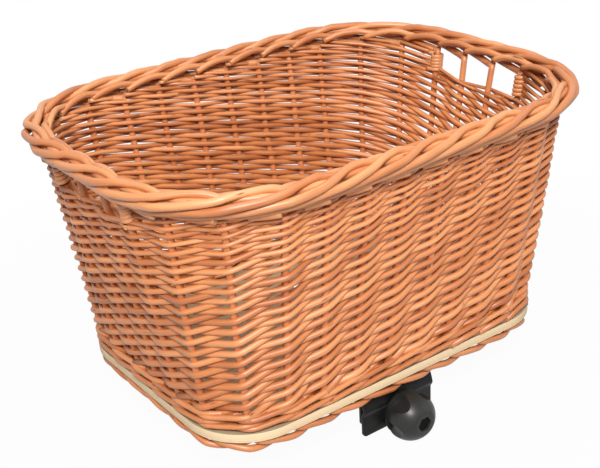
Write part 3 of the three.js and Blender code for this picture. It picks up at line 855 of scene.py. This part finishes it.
def slantedBar(low, high, radius, sides=16):
    # a bar between two points, with level ends
    upright, faces = prismPoints(circle(radius, sides), 0, 1)
    points = low + upright * (1, 1, 0) + upright[:, 2:] * (high - low)
    return points, faces


def boltMiddle(node):
    low, high = boxOf(node)
    return (low + high)[:2] / 2


def boltHoles(low, high, finish):
    # cutters for the four carriage bolts
    outline = circle(board["boltHole"] / 2, holeSides)
    return [prism("hole", outline + boltMiddle(node), low, high, finish) for node in mountBolts]


def makeBoard():
    halfLength, halfWidth = boxOf("base_board")[1][:2]
    outline = roundedRectangle(halfLength, halfWidth, board["corner"], board["cornerSteps"])
    finish = plyFinish("plywood", boardLow, boardTop - boardLow)
    mesh = prism("board", outline, boardLow, boardTop, finish)
    cutters = []
    under, over = boardLow - cutPast, boardTop + cutPast
    for below, above in zip(ringAt(under), ringAt(over)):
        cutters.append(meshFrom("hole", *slantedBar(below, above, board["stakeHole"] / 2), finish))
    cutters += boltHoles(under, over, finish)
    made = applied("board", mesh, cutters, board["edge"])
    place("board", made, "basket", "plywood", ["base_board"])
    for node in ("packing_block_back", "packing_block_front"):
        below, above = boxOf(node)
        block = plyFinish(node + "_ply", below[2], above[2] - below[2])
        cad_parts[node].data.materials.clear()
        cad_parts[node].data.materials.append(block)


makeBoard()


# Clamp: folded black sheet, drawn across the screw and run along X

clamp = {
    "sheet": 2.5, "angleSheet": 3.0, "bend": 4.0, "bendSteps": 8,
    "groove": 3.0, "grooveHalf": 4.8, "corner": 3.5, "edge": 0.45,
    "padDrop": 0.6, "padRamp": 1.5, "padInner": 106.0,
    "rail": 10.0, "screwHole": 6.8,
    "endPoints": 7,              # points round the cut-off corners of a sheet's free end
    "screwRun": (60.0, 140.0),   # towards the knob, where the screw passes sheets
    "boltRun": (25.0, 50.0),     # heights between which the bolts do
}
screwLow, screwHigh = boxOf("clamp_screw")
screwZ = (screwLow[2] + screwHigh[2]) / 2


def foldedSheet(name, corners, thickness, width, finish):
    # a strip of even thickness, whose free end has rounded corners
    path = bentLine(corners, clamp["bend"], clamp["bendSteps"], rounded=True)
    fillet = clamp["corner"]
    count = clamp["endPoints"]
    last = unit(path[-1] - path[-2])
    arc = fillet * (1 - np.cos(np.linspace(0, math.pi / 2, count)))[::-1]
    path = np.vstack([path[:-1], path[-1] - arc[:, None] * last])
    run = np.gradient(path, axis=0)
    run[-count:] = last
    run = unit(run)
    normal = np.column_stack([-run[:, 1], run[:, 0]]) * thickness / 2
    half = np.full(len(path), width / 2)
    half[-count:] -= fillet - np.sqrt(np.maximum(fillet**2 - (fillet - arc)**2, 0))
    points = []
    for side, sign in ((normal, 1), (normal, -1), (-normal, -1), (-normal, 1)):
        points.append(np.column_stack([sign * half, path + side]))
    n = len(path)
    faces = []
    for a in range(4):
        b = (a + 1) % 4
        for i in range(n - 1):
            faces.append([a * n + i, a * n + i + 1, b * n + i + 1, b * n + i])
    faces.append([3 * n, 2 * n, n, 0])
    faces.append([n - 1, 2 * n - 1, 3 * n - 1, 4 * n - 1])
    return meshFrom(name, np.vstack(points), faces, finish)


def onScrew(points):
    # turns a body built about Z so that it points out of the jaw along the screw, towards -Y
    return np.column_stack([points[:, 0], -points[:, 2], screwZ + points[:, 1]])


def jawCorners(side, top, apexY):
    # the groove round a rail and the skirt below it; apexY is the outermost reach of the sheet
    deep, half = clamp["groove"], clamp["grooveHalf"]
    grooveZ = boxOf("clamp_bridge")[1][2] - clamp["sheet"] - clamp["padDrop"] - clamp["rail"] / 2
    middle = apexY - clamp["sheet"] / 2 * math.hypot(deep, half) / half
    web = middle - deep
    low = boxOf("clamp_jaw")[0][2]
    return [(side * web, top), (side * middle, grooveZ), (side * web, grooveZ - half), (side * web, low)]


def placeSheet(name, corners, thickness, node, body, cutters):
    low, high = boxOf(node)
    sheet = foldedSheet(name, corners, thickness, high[0] - low[0], blackCoat)
    place(name, applied(name, sheet, cutters, clamp["edge"]), body, "black_steel", [node])


def makeClamp():
    outline = circle(clamp["screwHole"] / 2, holeSides)
    screwHole = prism("hole", outline, *clamp["screwRun"], blackCoat, onScrew)
    bores = boltHoles(*clamp["boltRun"], blackCoat)
    thick = clamp["sheet"]
    low, high = boxOf("clamp_jaw")
    flange = high[2] - thick / 2
    corners = [(high[1], flange), *jawCorners(-1, flange, -low[1])]
    placeSheet("jaw_plate", corners, thick, "clamp_jaw", "jaw", [screwHole])

    low, high = boxOf("clamp_bridge")
    middle = high[2] - thick / 2
    pad = middle - clamp["padDrop"]
    inner = clamp["padInner"]
    raised = inner - clamp["padRamp"]
    corners = [(low[1], pad), (-inner, pad), (-raised, middle), (raised, middle), (inner, pad),
               *jawCorners(1, pad, high[1])]
    placeSheet("bridge_plate", corners, thick, "clamp_bridge", "basket", bores)

    low, high = boxOf("anchor_angle")
    thick = clamp["angleSheet"]
    level, upright = high[2] - thick / 2, low[1] + thick / 2
    corners = [(high[1], level), (upright, level), (upright, low[2])]
    placeSheet("angle_plate", corners, thick, "anchor_angle", "basket", [*bores, screwHole])


makeClamp()


# Screw, nut and washer of the clamp, and the bolts that hold it to the board

fasteners = {
    "thread": 6.0, "pitch": 1.0, "threadDepth": 0.32, "tipInset": 0.6, "tipLength": 0.5,
    "boltThread": 16.0, "screwThread": 40.0,       # threaded lengths
    "flats": 10.0, "chamfer": 0.5, "nutPlay": 0.2,
    "dome": 16.0, "domeHeight": 3.6, "domeLip": 0.4, "domeSteps": 10,
    "screwHead": 4.0, "headOverlap": 0.2,
    "washer": 12.0, "washerEdge": 0.25, "bore": 6.8,
    "boltSides": 32, "screwSides": 28, "washerSides": 40,
}


def threadProfile(low, high, smoothFrom):
    # a shank from low to high, ridged below smoothFrom
    radius, pitch = fasteners["thread"] / 2, fasteners["pitch"]
    profile = [(0, low), (radius - fasteners["tipInset"], low)]
    z = low + fasteners["tipLength"]
    while z < min(smoothFrom, high) - pitch:
        profile.append((radius - fasteners["threadDepth"], z))
        profile.append((radius, z + pitch / 2))
        z += pitch
    profile.append((radius, z + pitch / 2))
    return profile


def hexagon(flats):
    return circle(flats / math.sqrt(3), 6)


def pierced(name, outline, hole, low, high, bevel, turned=None):
    # a zinc-plated body with a hole right through it
    body = prism(name, outline, low, high, zincPlate, turned)
    cutter = prism("hole", hole, low - cutPast, high + cutPast, zincPlate, turned)
    return applied(name, body, [cutter], bevel)


def hexNut(name, low, high, middle=(0, 0), turned=None):
    outline = hexagon(fasteners["flats"]) + middle
    hole = circle(fasteners["thread"] / 2 + fasteners["nutPlay"], holeSides) + middle
    return pierced(name, outline, hole, low, high, fasteners["chamfer"], turned)


def joined(name, meshes):
    # several meshes of one finish as one
    points, faces, count = [], [], 0
    for mesh in meshes:
        points.append(pointsOf(mesh))
        faces.extend([[count + v for v in face.vertices] for face in mesh.polygons])
        count += len(mesh.vertices)
    return meshFrom(name, np.vstack(points), faces, zincPlate)


def boltProfile(low, high):
    # a carriage bolt from its tip to the top of its dome
    radius = fasteners["dome"] / 2
    seat = high - fasteners["domeHeight"]
    lip = fasteners["domeLip"]
    profile = threadProfile(low, seat, low + fasteners["boltThread"])
    profile += [(fasteners["thread"] / 2, seat), (radius, seat)]
    for angle in np.linspace(0, math.pi / 2, fasteners["domeSteps"] + 1)[:-1]:
        rise = lip + (fasteners["domeHeight"] - lip) * math.sin(angle)
        profile.append((radius * math.cos(angle), seat + rise))
    return profile + [(0, high)]


def makeFasteners():
    bolts, nuts = [], []
    nutNodes = [n.replace("bolt", "nut") for n in mountBolts]
    for node, nutNode in zip(mountBolts, nutNodes):
        low, high = boxOf(node)
        middle = boltMiddle(node)
        points, faces = lathePoints(boltProfile(low[2], high[2]), fasteners["boltSides"])
        bolts.append(meshFrom("bolt", points + (*middle, 0), faces, zincPlate))
        low, high = boxOf(nutNode)
        nuts.append(hexNut("nut", low[2], high[2], middle))
    place("carriage_bolts", joined("carriage_bolts", bolts), "basket", "zinc_steel", mountBolts)
    place("carriage_nuts", joined("carriage_nuts", nuts), "basket", "zinc_steel", nutNodes)

    low, high = boxOf("captive_nut")
    nut = hexNut("anchor_nut", -high[1], -low[1], turned=onScrew)
    place("anchor_nut", nut, "basket", "zinc_steel", ["captive_nut"])

    tail, face = -screwHigh[1], -screwLow[1]
    neck = face - fasteners["screwHead"]
    profile = threadProfile(tail, neck, tail + fasteners["screwThread"])
    profile += [(fasteners["thread"] / 2, neck), (0, neck)]
    points, faces = lathePoints(profile, fasteners["screwSides"])
    shank = meshFrom("shank", onScrew(points), faces, zincPlate)
    low = neck - fasteners["headOverlap"]
    head = prism("head", hexagon(fasteners["flats"]), low, face, zincPlate, onScrew)
    head = applied("head", head, (), fasteners["chamfer"])
    place("jaw_screw", joined("jaw_screw", [shank, head]), "knob", "zinc_steel", ["clamp_screw"])

    low, high = boxOf("knob_washer")
    outline = circle(fasteners["washer"] / 2, fasteners["washerSides"])
    hole = circle(fasteners["bore"] / 2, holeSides)
    washer = pierced("washer", outline, hole, -high[1], -low[1], fasteners["washerEdge"], onScrew)
    place("washer", washer, "knob", "zinc_steel", ["knob_washer"])


makeFasteners()


# Knob: a moulded ball with five finger pockets on its clamp side and a hex recess in its face

knob = {
    "ball": 45.0, "length": 31.0, "ballCentre": 11.5, "hub": 2.0, "hubDiameter": 12.0,
    "sides": 96, "rings": 40,
    "edge": 0.9, "edgeSegments": 3, "smooth": 50.0,
    "rim": 3.0,                                  # uncut flange on the clamp side
    "pockets": 5, "pocketDiameter": 24.0, "pocketAway": 27.6, "pocketLean": 10.0, "pocketSides": 64,
    "recess": 2.3, "recessFlats": 12.6,
    "shadePlugFlats": 12.3, "shadePlugHeight": 0.5,        # dull black over the screw's head, painted shade for the recess
    "shadePlugSunk": 0.05,
    "boreEnd": 4.0,                              # depth under the face
}


def makeKnob():
    low, high = boxOf("clamp_knob")
    rear, face = -high[1], -low[1]
    base = rear + knob["hub"]
    along = np.linspace(0, knob["length"], knob["rings"] + 1)
    reach = np.sqrt((knob["ball"] / 2)**2 - (along - knob["ballCentre"])**2)
    hub = knob["hubDiameter"] / 2
    profile = [(0, rear), (hub, rear), (hub, base)]
    profile += [(r, base + a) for r, a in zip(reach, along)] + [(0, face)]
    points, faces = lathePoints(profile, knob["sides"])
    body = meshFrom("knob", onScrew(points), faces, knobPlastic)
    lean = math.tan(math.radians(knob["pocketLean"]))
    cutters = []
    for pocket in range(knob["pockets"]):
        angle = -math.pi / 2 + pocket * turn / knob["pockets"]
        aim = np.array([math.cos(angle), math.sin(angle), 0])
        start = aim * knob["pocketAway"] + (0, 0, base + knob["rim"])
        end = start + aim * lean * knob["length"] + (0, 0, knob["length"])
        bar, barFaces = slantedBar(start, end, knob["pocketDiameter"] / 2, knob["pocketSides"])
        cutters.append(meshFrom("pocket", onScrew(bar), barFaces, knobPlastic))
    bottom = face - knob["recess"]
    recess = hexagon(knob["recessFlats"])
    cutters.append(prism("recess", recess, bottom, face + cutPast, knobPlastic, onScrew))
    bore = circle(fasteners["bore"] / 2, holeSides)
    low, high = rear - cutPast, face - knob["boreEnd"]
    cutters.append(prism("bore", bore, low, high, knobPlastic, onScrew))
    shaped = applied("knob", body, cutters, knob["edge"], knob["edgeSegments"], knob["smooth"])
    place("knob", shaped, "knob", "knob_plastic", ["clamp_knob"])
    # painted shade: a thin dull black hexagon on the recess floor makes the recess look deep and dark
    low, high = bottom - knob["shadePlugSunk"], bottom + knob["shadePlugHeight"]
    shadePlug = prism("knob_recess_shade", hexagon(knob["shadePlugFlats"]), low, high, knobRecessShade, onScrew)
    place("knob_recess_shade", shadePlug, "knob", "knob_plastic")


makeKnob()


# Stage: pale floor, soft studio light and the photograph's view

stage = {
    "floorSize": 8.0, "floorBelow": 0.0005, "paper": 0.52,
    "fadeFrom": 0.3, "fadeTo": 0.75, "nearGlow": 0.96,   # white of its own, by distance in metres
    "ambient": 0.06,
    "lamps": {
        # name: place, aim, width and height in metres, watts
        "key": ((-0.95, -1.36, 1.60), (0.0, 0.0, 0.15), 0.6, 0.6, 62.0),
        "fill": ((1.5, -1.1, 0.9), (0.0, 0.0, 0.15), 0.9, 0.9, 3.0),
        "top": ((0.1, 0.1, 2.0), (0.0, 0.0, 0.1), 0.8, 0.8, 14.0),
    },
}
photoView = {
    "azimuth": -35.159, "elevation": 25.135, "roll": -3.316,   # degrees
    "aim": (-12.34, 0.04, 154.40), "distance": 1039.5,
    "focalPixels": 1143.2, "imageWidth": 600,
    "sensor": 36.0, "clip": (0.01, 50.0),
}


def seenDirectly(tree):
    # 1 where the camera sees it, in a mirror or through glass too
    rays = addNode(tree, "ShaderNodeLightPath").outputs
    either = rays["Is Camera Ray"]
    for kind in ("Is Glossy Ray", "Is Transmission Ray"):
        either = addNode(tree, "ShaderNodeMath", {0: either, 1: rays[kind]}, operation="MAXIMUM").outputs[0]
    return either


def makeFloor():
    half = stage["floorSize"] / 2
    mesh = bpy.data.meshes.new("floor")
    corners = [(-half, -half, 0), (half, -half, 0), (half, half, 0), (-half, half, 0)]
    mesh.from_pydata(corners, [], [(0, 1, 2, 3)])
    material = bpy.data.materials.new("floor_white")
    material.use_nodes = True
    tree = material.node_tree
    tree.nodes.clear()
    paper = addNode(tree, "ShaderNodeBsdfDiffuse", {"Color": (*grey(stage["paper"]), 1)})
    glow = addNode(tree, "ShaderNodeEmission", {"Color": (1, 1, 1, 1), "Strength": 1.0})
    spot = addNode(tree, "ShaderNodeNewGeometry").outputs["Position"]
    away = addNode(tree, "ShaderNodeVectorMath", {0: spot}, operation="LENGTH").outputs["Value"]
    fade = addNode(tree, "ShaderNodeMapRange", {
        "Value": away, "From Min": stage["fadeFrom"], "From Max": stage["fadeTo"],
        "To Min": stage["nearGlow"]}, interpolation_type="SMOOTHSTEP")
    share = addNode(tree, "ShaderNodeMath", {
        0: fade.outputs["Result"], 1: seenDirectly(tree)}, operation="MULTIPLY")
    both = addNode(tree, "ShaderNodeMixShader", {
        0: share.outputs[0], 1: paper.outputs[0], 2: glow.outputs[0]})
    addNode(tree, "ShaderNodeOutputMaterial", {"Surface": both.outputs[0]})
    mesh.materials.append(material)
    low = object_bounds()[0].z
    floor = linked("floor", mesh)
    floor.location.z = low - stage["floorBelow"]


def makeLight():
    world = bpy.data.worlds.new("studio")
    bpy.context.scene.world = world
    world.use_nodes = True
    tree = world.node_tree
    tree.nodes.clear()
    strength = addNode(tree, "ShaderNodeMapRange", {
        "Value": seenDirectly(tree), "To Min": stage["ambient"], "To Max": 1.0})
    glow = addNode(tree, "ShaderNodeBackground", {
        "Color": (1, 1, 1, 1), "Strength": strength.outputs["Result"]})
    addNode(tree, "ShaderNodeOutputWorld", {"Surface": glow.outputs[0]})
    for name, (spot, aim, width, height, watts) in stage["lamps"].items():
        lamp = bpy.data.lights.new(name, "AREA")
        lamp.shape = "RECTANGLE"
        lamp.size, lamp.size_y = width, height
        lamp.energy = watts
        stand = linked(name, lamp)
        stand.location = spot
        stand.rotation_mode = "QUATERNION"
        stand.rotation_quaternion = (Vector(aim) - Vector(spot)).to_track_quat("-Z", "Y")


def makeCamera():
    azimuth, elevation, roll = (math.radians(photoView[k]) for k in ("azimuth", "elevation", "roll"))
    level = math.cos(elevation)
    back = Vector((math.sin(azimuth) * level, -math.cos(azimuth) * level, math.sin(elevation)))
    right = Vector((math.cos(azimuth), math.sin(azimuth), 0))
    up = back.cross(right)
    tiltedRight = right * math.cos(roll) + up * math.sin(roll)
    tiltedUp = up * math.cos(roll) - right * math.sin(roll)
    lens = bpy.data.cameras.new("photo_view")
    lens.sensor_width = photoView["sensor"]
    lens.lens = photoView["focalPixels"] / photoView["imageWidth"] * lens.sensor_width
    lens.clip_start, lens.clip_end = photoView["clip"]
    camera = linked("photo_view", lens)
    spot = (Vector(photoView["aim"]) + back * photoView["distance"]) * mm
    facing = Matrix((tiltedRight, tiltedUp, back)).transposed().to_4x4()
    camera.matrix_world = Matrix.Translation(spot) @ facing
    bpy.context.scene.camera = camera


makeFloor()
makeLight()
makeCamera()
bpy.context.scene.view_settings.view_transform = "Standard"
print("stage: floor, lamps and camera ready")
